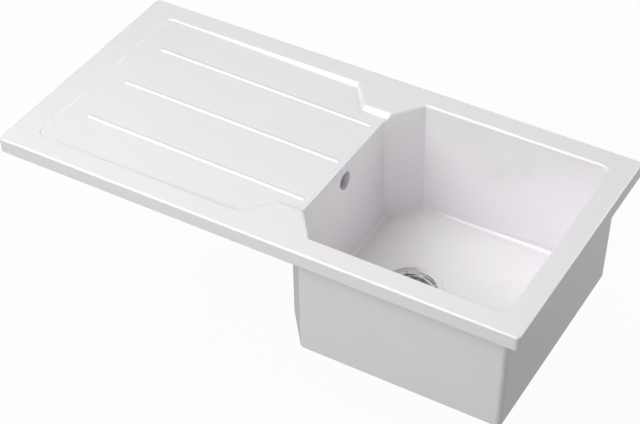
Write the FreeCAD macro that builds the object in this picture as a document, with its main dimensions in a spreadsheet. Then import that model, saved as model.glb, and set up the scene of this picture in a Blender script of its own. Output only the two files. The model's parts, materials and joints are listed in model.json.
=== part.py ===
"""Inset kitchen sink with a drainboard on the left, one bowl on the right, and the fittings that make it hold and
drain water: a 90 mm basket strainer, an overflow connection under the bowl and the sealing strip under the rim.

Millimetres, +Z up, +X along the long side towards the bowl, +Y towards the back. The origin lies on the worktop
surface, under the middle of the sink's plan outline, so the sealing strip fills z = 0 to seal_thickness.
"""

import FreeCAD
import Part
import math
import os
import Sketcher

from FreeCAD import Placement, Rotation, Vector

doc = FreeCAD.newDocument("inset_sink")

# ---------------------------------------------------------------------------------------------- driving sizes
SIZES = {
    # sink moulding: outline and rim
    "overall_length": 1000.0,
    "overall_width": 500.0,
    "rim_height": 28.0,
    "rim_corner_radius": 8.0,
    "rim_edge_radius": 3.5,
    "rim_foot_radius": 1.5,
    "seal_thickness": 2.0,
    # bowl, inside
    "bowl_right_margin": 42.0,
    "bowl_side_margin": 43.5,
    "bowl_length": 406.0,
    "bowl_depth": 230.0,
    "bowl_chamfer": 50.0,
    "chamfer_slope": 1.3,
    "wall_draft": 5.5,
    "left_wall_draft": 9.0,
    "bowl_corner_radius": 22.0,
    "bowl_chamfer_radius": 4.0,
    "bowl_edge_radius": 5.0,
    "floor_radius_small": 5.0,
    "floor_radius_left": 9.0,
    "floor_radius_large": 16.0,
    "floor_fall": 9.0,
    "fall_margin": 17.0,
    "fall_margin_left": 7.0,
    "floor_land_radius": 58.0,
    # bowl, outside
    "wall_thickness": 15.5,
    "left_wall_thickness": 27.0,
    "outer_draft": 3.5,
    "outer_chamfer": 58.0,
    "outer_corner_radius": 10.0,
    "bowl_foot_radius": 4.0,
    # waste hole
    "waste_from_right": 267.0,
    "waste_hole_radius": 45.5,
    "waste_hole_edge": 2.0,
    "waste_web": 9.0,
    # drainboard: recess and ribs
    "drain_left_margin": 50.0,
    "drain_side_margin": 43.0,
    "drain_depth_left": 1.6,
    "drain_depth_lip": 9.5,
    "drain_jog_x": 85.0,
    "drain_jog_length": 40.0,
    "drain_jog_width": 53.0,
    "drain_wall_slope": 0.7,
    "drain_corner_radius": 16.0,
    "drain_jog_foot_radius": 3.0,
    "drain_foot_radius_left": 1.4,
    "drain_foot_radius": 2.8,
    "drain_edge_radius_left": 1.4,
    "drain_edge_radius": 3.4,
    "rib_spacing": 116.5,
    "rib_width": 10.4,
    "rib_height": 2.0,
    "rib_edge_radius": 4.6,
    "rib_start": 43.0,
    "rib_end_gap": 9.0,
    # underside of the drainboard
    "land_width": 28.0,
    "board_thickness": 11.0,
    "hollow_draft": 9.0,
    "hollow_corner_radius": 8.0,
    "hollow_right_gap": 62.0,
    "stiffener_width": 14.0,
    "stiffener_spacing": 150.0,
    "stiffener_rise": 3.0,
    # overflow in the thick left wall
    "overflow_drop": 47.0,
    "overflow_radius": 17.5,
    "duct_from_lip": 22.0,
    "duct_bore_radius": 15.0,
    "duct_wall": 9.0,
    "duct_roof": 25.0,
    # strip under the rim
    "seal_inset": 6.0,
    "seal_width": 8.0,
    # strainer: pressed steel flange and well
    "steel": 1.0,
    "flange_radius": 56.0,
    "flange_funnel": 3.5,
    "flange_seal_thickness": 1.2,
    "flange_seal_inner": 47.6,
    "flange_seal_outer": 53.0,
    "well_radius": 42.5,
    "ledge_depth": 5.0,
    "ledge_radius": 40.0,
    "well_foot_radius": 38.5,
    "well_depth": 46.0,
    "boss_radius": 11.0,
    "boss_drop": 4.0,
    "drain_hole_radius": 3.4,
    "drain_hole_circle": 20.5,
    # basket
    "basket_sheet": 0.8,
    "basket_rim_radius": 42.1,
    "basket_wall_radius": 39.2,
    "basket_foot_radius": 34.0,
    "basket_depth": 28.0,
    "basket_hole_radius": 1.8,
    "basket_hole_circle": 19.5,
    "basket_hole_step": 6.5,
    "basket_slot_width": 3.0,
    "basket_slot_height": 11.0,
    "basket_slot_rise": 7.0,
    # guide bush, stem, stopper and knob
    "stem_radius": 4.0,
    "guide_neck_radius": 5.5,
    "guide_flange_radius": 8.0,
    "guide_flange_thickness": 1.5,
    "guide_clip": 0.8,
    "stopper_radius": 31.0,
    "stopper_lip": 2.5,
    "stopper_hub_radius": 12.0,
    "stopper_hub_height": 4.0,
    "stopper_recess_radius": 9.5,
    "stopper_recess_height": 3.0,
    "stem_head_radius": 7.5,
    "stem_head_thickness": 1.6,
    "knob_rise": 4.0,
    "knob_height": 17.0,
    "knob_radius": 10.0,
    "knob_waist": 6.5,
    "knob_bore_depth": 9.0,
    # strainer housing, its gasket, insert and screw
    "body_gasket_thickness": 2.5,
    "body_gasket_inner": 46.5,
    "body_gasket_outer": 56.0,
    "housing_flange_radius": 57.0,
    "housing_flange_thickness": 4.0,
    "housing_radius": 50.0,
    "housing_wall": 3.5,
    "housing_shoulder": 62.0,
    "outlet_top": 80.0,
    "outlet_length": 22.0,
    "outlet_thread_radius": 23.9,
    "outlet_bore_radius": 19.8,
    "hub_radius": 9.0,
    "web_thickness": 3.0,
    "web_height": 8.0,
    "screw_radius": 3.0,
    "screw_head_radius": 6.0,
    "screw_head_height": 3.4,
    "screw_length": 22.0,
    "screw_slot_width": 1.6,
    "screw_slot_depth": 1.5,
    "insert_cover": 8.0,
    "insert_length": 10.0,
    "insert_radius": 5.0,
    # overflow connection
    "pipe_drop": 37.0,
    "pipe_radius": 12.6,
    "pipe_wall": 1.6,
    "pipe_engagement": 14.0,
    "socket_radius": 16.5,
    "socket_length": 22.0,
    "inlet_reach": 72.0,
    "inlet_bore_radius": 11.0,
    "bend_radius": 24.0,
    "elbow_radius": 12.2,
    "elbow_wall": 2.0,
    "elbow_rise": 22.0,
    "collar_radius": 20.0,
    "collar_thickness": 3.0,
    "sleeve_length": 18.0,
    "sleeve_lip": 1.5,
    "sleeve_lip_radius": 18.5,
    "nut_radius": 19.0,
    "nut_lug": 1.4,
    "nut_lug_width": 4.0,
    "nut_length": 16.0,
    "nut_end": 3.0,
    "washer_length": 3.4,
    # clearances between separate pieces
    "running_gap": 0.05,
    "pipe_fit": 0.3,
    "small_gap": 0.2,
    "seat_gap": 0.3,
}

sheet = doc.addObject("Spreadsheet::Sheet", "Sizes")
for row, (alias, size) in enumerate(SIZES.items(), start=1):
    sheet.set(f"A{row}", alias)
    sheet.set(f"B{row}", str(size))
    sheet.setAlias(f"B{row}", alias)
doc.recompute()


# ---------------------------------------------------------------------------------------------- small helpers
def number(text):
    """The value of a sum of named sizes, such as "well_radius - 0.5*steel"."""
    total = 0.0
    sign = 1.0
    for word in text.split():
        if word in "+-":
            sign = 1.0 if word == "+" else -1.0
            continue
        term = sign
        for factor in word.split("*"):
            term *= getattr(sheet, factor) if factor in SIZES else float(factor)
        total += term
    return total


def formula(text):
    """The same sum as an expression that reads the sheet."""
    words = []
    for word in text.split():
        factors = [f"Sizes.{factor}" if factor in SIZES else factor for factor in word.split("*")]
        words.append(" * ".join(factors))
    return " ".join(words)


def bind(thing, **properties):
    """Ties properties to sums of named sizes; a double underscore stands for a dot in the property's path."""
    for path, text in properties.items():
        thing.setExpression(path.replace("__", "."), formula(text))


def origin_plane(body, role):
    return next(feature for feature in body.Origin.OriginFeatures if feature.Role == role)


def new_body(name, x="0", z="0"):
    """A body whose own origin is moved to x and z of the row frame."""
    body = doc.addObject("PartDesign::Body", name)
    bind(body, Placement__Base__x=x, Placement__Base__z=z)
    return body


def new_sketch(body, name, plane="XY_Plane", offset=None):
    """A sketch on one of the body's origin planes, moved along that plane's normal by offset."""
    sketch = body.newObject("Sketcher::SketchObject", name)
    sketch.AttachmentSupport = (origin_plane(body, plane), [""])
    sketch.MapMode = "FlatFace"
    if offset is not None:
        bind(sketch, AttachmentOffset__Base__z=offset)
    return sketch


def draw_outline(sketch, corners):
    """A closed outline of straight lines; each corner is a pair of sums of named sizes."""
    first = sketch.GeometryCount
    count = len(corners)
    points = [Vector(number(across), number(up), 0) for across, up in corners]
    for index in range(count):
        sketch.addGeometry(Part.LineSegment(points[index], points[(index + 1) % count]), False)
    for index in range(count):
        following = first + (index + 1) % count
        sketch.addConstraint(Sketcher.Constraint("Coincident", first + index, 2, following, 1))
    for index, texts in enumerate(corners):
        for kind, text in zip(("DistanceX", "DistanceY"), texts):
            size = Sketcher.Constraint(kind, -1, 1, first + index, 1, number(text))
            place = sketch.addConstraint(size)
            sketch.setExpression(f"Constraints[{place}]", formula(text))


def draw_circle(sketch, radius, across="0", up="0"):
    """A circle of a named radius about a point given by two sums of named sizes."""
    centre = Vector(number(across), number(up), 0)
    circle = sketch.addGeometry(Part.Circle(centre, Vector(0, 0, 1), number(radius)), False)
    for kind, text in (("DistanceX", across), ("DistanceY", up)):
        place = sketch.addConstraint(Sketcher.Constraint(kind, -1, 1, circle, 3, number(text)))
        sketch.setExpression(f"Constraints[{place}]", formula(text))
    place = sketch.addConstraint(Sketcher.Constraint("Radius", circle, number(radius)))
    sketch.setExpression(f"Constraints[{place}]", formula(radius))


def both_sides(corners):
    """The corners given for the front half, then the same ones mirrored to the back half in reverse."""
    mirrored = [(across, negative(up)) for across, up in reversed(corners)]
    return list(corners) + mirrored


def negative(text):
    """The sum with every sign turned."""
    words = text.split()
    turned = []
    if words[0] not in "+-":
        words.insert(0, "+")
    for word in words:
        turned.append({"+": "-", "-": "+"}.get(word, word))
    return " ".join(turned[1:] if turned[0] == "+" else ["0"] + turned)


def feature(body, kind, name, sketch, **settings):
    """A PartDesign feature of a profile sketch, recomputed so that the next one can read it."""
    made = body.newObject(f"PartDesign::{kind}", name)
    made.Profile = sketch
    for setting, value in settings.items():
        setattr(made, setting, value)
    doc.recompute()
    return made


def pad(body, name, sketch, length, **settings):
    made = feature(body, "Pad", name, sketch, **settings)
    bind(made, Length=length)
    doc.recompute()
    return made


def pocket(body, name, sketch, length, **settings):
    """A pocket as deep as length, which has to take material away."""
    before = body.Shape.Volume
    made = feature(body, "Pocket", name, sketch, **settings)
    bind(made, Length=length)
    doc.recompute()
    if not body.Shape.Volume < before:
        raise RuntimeError(f"{name} cuts nothing")
    return made


def turned(name, profile, x="0", z="0", axis="V_Axis"):
    """A body turned about its own Z axis, or about X with axis H_Axis, from a half section in the XZ plane."""
    body = new_body(name, x, z)
    sketch = new_sketch(body, f"{name}_section", "XZ_Plane")
    draw_outline(sketch, profile)
    feature(body, "Revolution", f"{name}_turning", sketch, ReferenceAxis=(sketch, [axis]), Angle=360.0)
    return body


def patterned(body, name, original, count, axis="Z_Axis"):
    """The original feature repeated evenly about one of the body's axes."""
    pattern = body.newObject("PartDesign::PolarPattern", name)
    pattern.Originals = [original]
    pattern.Axis = (origin_plane(body, axis), [""])
    pattern.Angle = 360.0
    pattern.Occurrences = count
    body.Tip = pattern
    doc.recompute()
    return pattern


def edges_where(shape, test):
    """Numbers, from 1, of the edges for which test(edge) is true."""
    return [index for index, edge in enumerate(shape.Edges, start=1) if test(edge)]


def faces_where(shape, test):
    """Names of the faces for which test(normal, face) is true."""
    faces = enumerate(shape.Faces, start=1)
    return [f"Face{index}" for index, face in faces if test(face.normalAt(0, 0), face)]


def leaned(body, name, base, test, upward, run, rise):
    """Leans upright faces picked by test: inwards by run for each rise away from the level end face."""
    sides = faces_where(base.Shape, lambda normal, face: abs(normal.z) < 0.1 and test(face.CenterOfMass, normal))
    level = faces_where(base.Shape, lambda normal, face: normal.z * upward > 0.99)
    made = body.newObject("PartDesign::Draft", name)
    made.Base = (base, sides)
    made.NeutralPlane = (base, level[:1])
    made.Reversed = upward > 0
    made.setExpression("Angle", f"atan(({formula(run)}) / ({formula(rise)}))")
    before = base.Shape.Volume
    doc.recompute()
    if not made.Shape.Volume < before:
        raise RuntimeError(f"{name} leans its faces outwards")
    return made


def round_upright(body, name, base, radius, left, right):
    """Rounds the upright edges that lie between the heights' ends and between left and right in plan."""
    shape = base.Shape
    low, high = shape.BoundBox.ZMin, shape.BoundBox.ZMax
    found = edges_where(shape, lambda edge: spans(edge, low, high) and left - 1 < edge.BoundBox.XMin < right + 1)
    made = body.newObject("PartDesign::Fillet", name)
    made.Base = (base, [f"Edge{index}" for index in found])
    bind(made, Radius=radius)
    doc.recompute()
    return made


def combined(kind, name, base, tool):
    """base with tool cut away or joined on, checked by its volume."""
    made = doc.addObject(f"Part::{kind}", name)
    made.Base = base
    made.Tool = tool
    doc.recompute()
    if not made.Shape.isValid():
        raise RuntimeError(f"{name} is not a sound shape")
    smaller = made.Shape.Volume < base.Shape.Volume
    if smaller != (kind == "Cut"):
        raise RuntimeError(f"{name} does not change {base.Name} as meant")
    return made


def filleted(name, base, radii):
    """base with edges rounded; radii holds (edge number, radius at its start, radius at its end)."""
    made = doc.addObject("Part::Fillet", name)
    made.Base = base
    made.Edges = radii
    doc.recompute()
    if "Invalid" in made.State or not made.Shape.isValid():
        raise RuntimeError(f"{name} fails on {len(radii)} edges")
    return made


def near(first, second):
    return abs(first - second) < 0.01


def spans(edge, low, high):
    """True for an edge that runs from the height low to the height high."""
    return near(edge.BoundBox.ZMin, low) and near(edge.BoundBox.ZMax, high)


# ---------------------------------------------------------------------------------------------- shared places
SINK_TOP = "seal_thickness + rim_height"
BOWL_RIGHT = "0.5*overall_length - bowl_right_margin"
BOWL_LEFT = "0.5*overall_length - bowl_right_margin - bowl_length"
BOWL_FRONT = "bowl_side_margin - 0.5*overall_width"
FLOOR_EDGE = "seal_thickness + rim_height - bowl_depth"
WASTE_LEVEL = "seal_thickness + rim_height - bowl_depth - floor_fall"
SINK_FOOT = "seal_thickness + rim_height - bowl_depth - floor_fall - waste_web"
WASTE_X = "0.5*overall_length - bowl_right_margin - waste_from_right"
DRAIN_LEFT = "drain_left_margin - 0.5*overall_length"
DUCT_X = "0.5*overall_length - bowl_right_margin - bowl_length - duct_from_lip"
PIPE_Z = "seal_thickness + rim_height - bowl_depth - floor_fall - pipe_drop"


# ---------------------------------------------------------------------------------------------- sink moulding
SLOPE_END_X = "1.5*overall_length - drain_left_margin - 2*bowl_right_margin - 2*bowl_length"
SLOPE_START_Z = "seal_thickness + rim_height - drain_depth_left"
SLOPE_END_Z = "seal_thickness + rim_height - 2*drain_depth_lip + drain_depth_left"

# a level under the ribs' slanting undersides over the whole of the board's slope
RIB_FOOT = "seal_thickness + rim_height - board_thickness - drain_depth_lip"

# the drainboard's slope carried on to the left by its own run, for what lies below it
HOLLOW_START_X = "2*drain_left_margin + bowl_right_margin + bowl_length - 1.5*overall_length"
HOLLOW_START_Z = "seal_thickness + rim_height - 2*drain_depth_left + drain_depth_lip - board_thickness"


def rectangle(x, y):
    """A rectangle about the sink's middle with the half lengths x and y."""
    return both_sides([(negative(x), negative(y)), (x, negative(y))])


def bowl_outline(right, left, front, chamfer):
    """The bowl's plan shape: a rectangle with its two left corners cut off."""
    return both_sides([(left, f"{front} + chamfer_slope*{chamfer}"), (f"{left} + {chamfer}", front), (right, front)])


def moulding_block():
    """Rim slab and the outside of the bowl in one."""
    body = new_body("moulding_block")
    outline = new_sketch(body, "bowl_outside_plan", offset="seal_thickness")
    right = f"{BOWL_RIGHT} - wall_draft + wall_thickness + outer_draft"
    left = f"{BOWL_LEFT} + left_wall_draft - left_wall_thickness - outer_draft"
    front = f"{BOWL_FRONT} + wall_draft - wall_thickness - outer_draft"
    draw_outline(outline, bowl_outline(right, left, front, "outer_chamfer"))
    depth = "bowl_depth + floor_fall + waste_web - rim_height"
    straight = pad(body, "bowl_outside", outline, depth, Reversed=True)
    leaned(body, "bowl_outside_draft", straight, lambda place, normal: True, 1, "outer_draft", depth)
    slab = new_sketch(body, "rim_plan", offset="seal_thickness")
    draw_outline(slab, rectangle("0.5*overall_length", "0.5*overall_width"))
    pad(body, "rim_slab", slab, "rim_height")
    return body


def bowl_space():
    """The space inside the bowl, sharp edged, with its walls leaning."""
    body = new_body("bowl_space")
    opening = new_sketch(body, "bowl_opening", offset=SINK_TOP)
    draw_outline(opening, bowl_outline(BOWL_RIGHT, BOWL_LEFT, BOWL_FRONT, "bowl_chamfer"))
    straight = pad(body, "bowl_inside", opening, "bowl_depth", Reversed=True)
    steep = leaned(
        body, "bowl_draft", straight, lambda place, normal: normal.x > -0.1, 1, "wall_draft", "bowl_depth"
    )
    leaned(
        body, "bowl_left_draft", steep, lambda place, normal: normal.x < -0.1, 1, "left_wall_draft", "bowl_depth"
    )
    return body


def drainboard_space():
    """The sloping recess of the drainboard, from its shallow left end through its mouth into the bowl."""
    body = new_body("drainboard_space")
    half = "0.5*overall_width - drain_side_margin"
    mouth = f"{half} - drain_jog_width"
    jog = f"{BOWL_LEFT} - drain_jog_x"
    beyond = f"{BOWL_LEFT} + 0.5*bowl_chamfer"
    top = new_sketch(body, "recess_plan", offset=SINK_TOP)
    front_half = [
        (DRAIN_LEFT, negative(half)),
        (jog, negative(half)),
        (f"{jog} + drain_jog_length", negative(mouth)),
        (beyond, negative(mouth)),
    ]
    draw_outline(top, both_sides(front_half))
    straight = pad(body, "recess", top, "2*drain_depth_lip", Reversed=True)
    left = number(DRAIN_LEFT)
    wide = round_upright(body, "recess_corners", straight, "drain_corner_radius", left, left)
    jog_radius = "drain_jog_foot_radius + drain_wall_slope*drain_depth_lip"
    rounded_plan = round_upright(body, "recess_jogs", wide, jog_radius, left + 20, number(BOWL_LEFT))
    leaned(
        body,
        "recess_draft",
        rounded_plan,
        lambda place, normal: normal.x < 0.9 or place.x < 0,
        1,
        "drain_wall_slope*drain_depth_lip",
        "drain_depth_lip",
    )
    floor = new_sketch(body, "recess_floor_line", "XZ_Plane")
    under = f"{SINK_TOP} - 3*drain_depth_lip"
    draw_outline(
        floor, [(DRAIN_LEFT, SLOPE_START_Z), (SLOPE_END_X, SLOPE_END_Z), (SLOPE_END_X, under), (DRAIN_LEFT, under)]
    )
    pocket(body, "recess_floor", floor, "2*overall_width", Midplane=True)
    return body


def end_radii(shape, index, at):
    """The radii at the start and end of an edge, from the function at(x)."""
    edge = shape.Edges[index - 1]
    return (index, at(edge.valueAt(edge.FirstParameter).x), at(edge.valueAt(edge.LastParameter).x))


def round_inner_edges(base):
    """Rounds every edge of the bowl, its opening and the drainboard in one go, since they run into each other."""
    low, high = number(FLOOR_EDGE), number(SINK_TOP)
    left, right = number(BOWL_LEFT), number(BOWL_RIGHT)
    half_bowl = 0.5 * (left + right)
    drain_left = number(DRAIN_LEFT)
    small, large = number("floor_radius_small"), number("floor_radius_large")
    edge_radius = number("bowl_edge_radius")
    floor_edges = [edge for edge in base.Shape.Edges if spans(edge, low, low)]
    floor_left = min(edge.BoundBox.XMin for edge in floor_edges)

    def on_floor(x):
        if near(x, floor_left):
            return number("floor_radius_left")
        return small if x < half_bowl else large

    def along_board(name):
        start, end = number(f"{name}_left"), number(name)

        def radius_at(x):
            share = (x - drain_left) / (left - drain_left)
            return start + min(max(share, 0.0), 1.0) * (end - start)

        return radius_at

    radii = []
    for index, edge in enumerate(base.Shape.Edges, start=1):
        box = edge.BoundBox
        in_plan = box.XMin > drain_left - 1 and box.XMax < right + 1
        in_plan = in_plan and abs(box.Center.y) < number("0.5*overall_width - 0.5*drain_side_margin")
        from_bowl = box.XMin > left - 1
        if spans(edge, low, low):
            radii.append(end_radii(base.Shape, index, on_floor))
        elif near(box.ZMin, low):
            radius = number("bowl_corner_radius" if box.Center.x > half_bowl else "bowl_chamfer_radius")
            radii.append((index, radius, radius))
        elif not in_plan or box.ZMin < number("seal_thickness + 0.5*rim_height"):
            continue
        elif spans(edge, high, high) and not from_bowl:
            radii.append(end_radii(base.Shape, index, along_board("drain_edge_radius")))
        elif spans(edge, high, high):
            radii.append((index, edge_radius, edge_radius))
        elif near(box.ZMax, high):
            if from_bowl:
                radii.append((index, edge_radius, edge_radius))
        elif from_bowl:
            radii.append((index, edge_radius, edge_radius))
        else:
            radii.append(end_radii(base.Shape, index, along_board("drain_foot_radius")))
    return filleted("inner_edges", base, radii)


def round_outer_edges(base):
    """Rounds the rim slab's corners and edges, then the outside of the bowl."""
    foot, under, high = number(SINK_FOOT), number("seal_thickness"), number(SINK_TOP)
    length, width = number("0.5*overall_length"), number("0.5*overall_width")
    radii = []
    for index, edge in enumerate(base.Shape.Edges, start=1):
        place = edge.BoundBox.Center
        on_ends = near(edge.BoundBox.XLength, 0) and near(abs(place.x), length)
        on_sides = near(edge.BoundBox.YLength, 0) and near(abs(place.y), width)
        if not on_ends and not on_sides:
            continue
        if spans(edge, under, high):
            name = "rim_corner_radius"
        elif spans(edge, high, high):
            name = "rim_edge_radius"
        else:
            name = "rim_foot_radius"
        radii.append((index, number(name), number(name)))
    slab = filleted("rim_edges", base, radii)
    radii = []
    for index, edge in enumerate(slab.Shape.Edges, start=1):
        if spans(edge, foot, under):
            radii.append((index, number("outer_corner_radius"), number("outer_corner_radius")))
        elif spans(edge, foot, foot):
            radii.append((index, number("bowl_foot_radius"), number("bowl_foot_radius")))
    return filleted("bowl_outer_edges", slab, radii)


def board_hollow():
    """The hollow under the drainboard, whose ceiling keeps the board's thickness below its sloping floor."""
    body = new_body("board_hollow")
    half_width = "0.5*overall_width - land_width"
    right = f"{DUCT_X} - hollow_right_gap"
    mouth = new_sketch(body, "hollow_mouth", offset="seal_thickness")
    draw_outline(
        mouth,
        both_sides([("land_width - 0.5*overall_length", negative(half_width)), (right, negative(half_width))]),
    )
    straight = pad(body, "hollow", mouth, "rim_height")
    leaned(body, "hollow_walls", straight, lambda place, normal: True, -1, "hollow_draft", "rim_height")
    ceiling = new_sketch(body, "hollow_ceiling_line", "XZ_Plane")
    over = f"{SINK_TOP} + rim_height"
    draw_outline(
        ceiling,
        [
            (HOLLOW_START_X, HOLLOW_START_Z),
            (SLOPE_END_X, f"{SLOPE_END_Z} - board_thickness"),
            (SLOPE_END_X, over),
            (HOLLOW_START_X, over),
        ],
    )
    pocket(body, "hollow_ceiling", ceiling, "2*overall_width", Midplane=True)
    under = number("seal_thickness")
    radius = number("hollow_corner_radius")
    radii = []
    for index, edge in enumerate(body.Shape.Edges, start=1):
        if not spans(edge, under, under):
            radii.append((index, radius, radius))
    return filleted("hollow_rounded", body, radii)


def floor_fall():
    """The shallow space that lets the bowl's floor fall to the flat ring round the waste hole."""
    body = new_body("floor_fall")
    edge = new_sketch(body, "fall_edge", offset=FLOOR_EDGE)
    corners = bowl_outline(
        f"{BOWL_RIGHT} - wall_draft - fall_margin",
        f"{BOWL_LEFT} + left_wall_draft + fall_margin_left",
        f"{BOWL_FRONT} + wall_draft + fall_margin",
        "bowl_chamfer",
    )
    draw_outline(edge, corners)
    ring = new_sketch(body, "fall_ring", offset=WASTE_LEVEL)
    middle = Vector(number(WASTE_X), 0, 0)
    circle = Part.Circle(middle, Vector(0, 0, 1), number("floor_land_radius"))
    angles = [math.atan2(number(up), number(across) - middle.x) for across, up in corners]
    count = len(angles)
    for index in range(count):
        end = angles[(index + 1) % count]
        if end < angles[index]:
            end += 2 * math.pi
        ring.addGeometry(Part.ArcOfCircle(circle, angles[index], end), False)
    for index in range(count):
        ring.addConstraint(Sketcher.Constraint("Coincident", index, 2, (index + 1) % count, 1))
    made = body.newObject("PartDesign::AdditiveLoft", "fall")
    made.Profile = ring
    made.Sections = [edge]
    made.Ruled = True
    doc.recompute()
    return body


def cylinder(name, radius, height, x, z, along_x=False):
    """A cylinder that stands on the point x, z of the plane y = 0, or lies along +X from it."""
    made = doc.addObject("Part::Cylinder", name)
    if along_x:
        made.Placement = Placement(Vector(), Rotation(Vector(0, 1, 0), 90))
    bind(made, Radius=radius, Height=height, Placement__Base__x=x, Placement__Base__z=z)
    doc.recompute()
    return made


def board_rib(index, y):
    """One raised rib of the drainboard, with round ends, which follows the board's slope."""
    body = new_body(f"board_rib_{index}")
    plan = new_sketch(body, f"rib_plan_{index}", offset=RIB_FOOT)
    left, right = f"{DRAIN_LEFT} + rib_start", f"{BOWL_LEFT} - rib_end_gap"
    near_side, far_side = f"{y} - 0.5*rib_width", f"{y} + 0.5*rib_width"
    draw_outline(plan, [(left, near_side), (right, near_side), (right, far_side), (left, far_side)])
    block = pad(body, f"rib_block_{index}", plan, "3*drain_depth_lip")
    ends = round_upright(body, f"rib_ends_{index}", block, "0.49*rib_width", number(left), number(right))
    line = new_sketch(body, f"rib_top_line_{index}", "XZ_Plane")
    over = f"{SINK_TOP} + 2*drain_depth_lip"
    draw_outline(
        line,
        [
            (DRAIN_LEFT, f"{SLOPE_START_Z} + rib_height"),
            (SLOPE_END_X, f"{SLOPE_END_Z} + rib_height"),
            (SLOPE_END_X, over),
            (DRAIN_LEFT, over),
        ],
    )
    pocket(body, f"rib_top_{index}", line, "2*overall_width", Midplane=True)
    under_line = new_sketch(body, f"rib_under_line_{index}", "XZ_Plane")
    draw_outline(
        under_line,
        [
            (DRAIN_LEFT, f"{SLOPE_START_Z} - 0.5*board_thickness"),
            (SLOPE_END_X, f"{SLOPE_END_Z} - 0.5*board_thickness"),
            (SLOPE_END_X, f"{RIB_FOOT} - 1"),
            (DRAIN_LEFT, f"{RIB_FOOT} - 1"),
        ],
    )
    bead = pocket(body, f"rib_under_{index}", under_line, "2*overall_width", Midplane=True)
    start, fall = number(SLOPE_START_Z), number(SLOPE_START_Z) - number(SLOPE_END_Z)
    length = number(SLOPE_END_X) - number(DRAIN_LEFT)
    radius = number("rib_edge_radius")

    def on_top(edge):
        middle = edge.BoundBox.Center
        board = start - fall * (middle.x - number(DRAIN_LEFT)) / length
        return middle.z > board + 0.5 * number("rib_height")

    edges = edges_where(bead.Shape, on_top)
    return filleted(f"rib_rounded_{index}", body, [(edge, radius, radius) for edge in edges])


# halfway between the hollow's left and right ends
HOLLOW_MIDDLE = "0.5*land_width - 0.5*bowl_right_margin - 0.5*bowl_length - 0.5*duct_from_lip - 0.5*hollow_right_gap"


def stiffener(index, x):
    """One rib across the hollow under the drainboard, which ends inside the board's thickness."""
    body = new_body(f"stiffener_{index}")
    plan = new_sketch(body, f"stiffener_plan_{index}", offset="seal_thickness + stiffener_rise")
    half = "0.5*overall_width - 0.5*land_width"
    left, right = f"{x} - 0.5*stiffener_width", f"{x} + 0.5*stiffener_width"
    draw_outline(plan, [(left, negative(half)), (right, negative(half)), (right, half), (left, half)])
    pad(body, f"stiffener_pad_{index}", plan, "rim_height - board_thickness - stiffener_rise")
    return body


def sink_moulding():
    shape = combined("Cut", "open_bowl", moulding_block(), bowl_space())
    shape = combined("Cut", "open_board", shape, drainboard_space())
    shape = round_outer_edges(round_inner_edges(shape))
    duct = new_body("duct_back")
    plan = new_sketch(duct, "duct_plan", offset=SINK_FOOT)
    draw_circle(plan, "duct_bore_radius + duct_wall", across=DUCT_X)
    pad(duct, "duct_pad", plan, "bowl_depth + floor_fall + waste_web - 0.5*rim_height")
    foot = number(SINK_FOOT)
    ends = edges_where(duct.Shape, lambda edge: spans(edge, foot, foot))
    foot_radius = number("bowl_foot_radius")
    duct = filleted("duct_rounded", duct, [(index, foot_radius, foot_radius) for index in ends])
    shape = combined("Fuse", "with_duct", shape, duct)
    shape = combined("Cut", "with_hollow", shape, board_hollow())
    for index, side in enumerate("-+", start=1):
        place = f"{HOLLOW_MIDDLE} {side} 0.5*stiffener_spacing"
        shape = combined("Fuse", f"with_stiffener_{index}", shape, stiffener(index, place))
    for index, y in enumerate(("0 - rib_spacing", "0", "rib_spacing"), start=1):
        shape = combined("Fuse", f"with_rib_{index}", shape, board_rib(index, y))
    shape = combined("Cut", "with_fall", shape, floor_fall())
    hole = cylinder("waste_hole", "waste_hole_radius", "floor_fall + 2*waste_web", WASTE_X, f"{SINK_FOOT} - 1")
    shape = combined("Cut", "with_waste_hole", shape, hole)
    bore_height = "bowl_depth + floor_fall + waste_web - duct_roof + 1"
    bore = cylinder("duct_bore", "duct_bore_radius", bore_height, DUCT_X, f"{SINK_FOOT} - 1")
    shape = combined("Cut", "with_duct_bore", shape, bore)
    overflow = cylinder(
        "overflow_hole", "overflow_radius", "2*duct_from_lip", DUCT_X, f"{SINK_TOP} - overflow_drop", along_x=True
    )
    shape = combined("Cut", "with_overflow", shape, overflow)
    level = number(WASTE_LEVEL)
    reach = number("waste_hole_radius")
    rounding = number("waste_hole_edge")
    edges = edges_where(shape.Shape, lambda edge: spans(edge, level, level) and near(edge.BoundBox.XLength, 2 * reach))
    return filleted("sink_body", shape, [(index, rounding, rounding) for index in edges])


# ---------------------------------------------------------------------------------------------- strip under the rim
def rim_seal():
    """The closed loop of foam strip that lies between the rim and the worktop."""
    body = new_body("rim_seal")
    plan = new_sketch(body, "seal_plan")
    draw_outline(plan, rectangle("0.5*overall_length - seal_inset", "0.5*overall_width - seal_inset"))
    inner_length = "0.5*overall_length - seal_inset - seal_width"
    inner_width = "0.5*overall_width - seal_inset - seal_width"
    draw_outline(plan, rectangle(inner_length, inner_width))
    pad(body, "seal_pad", plan, "seal_thickness")
    return body


# ---------------------------------------------------------------------------------------------- strainer
# Heights in this part are measured from the flat ring of the bowl's floor, upwards positive.
FLANGE_TOP = "flange_seal_thickness + steel"
BOSS_FLOOR = "0 - well_depth - boss_drop"
STOPPER_FOOT = "seat_gap - well_depth"
RECESS_ROOF = "seat_gap - well_depth + stopper_recess_height"
HUB_TOP = "0 - well_depth - boss_drop - steel"
HOUSING_TOP = "0 - waste_web - body_gasket_thickness"


def at_waste(name, profile):
    """A piece turned about the waste's axis."""
    return turned(name, profile, WASTE_X, WASTE_LEVEL)


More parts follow.
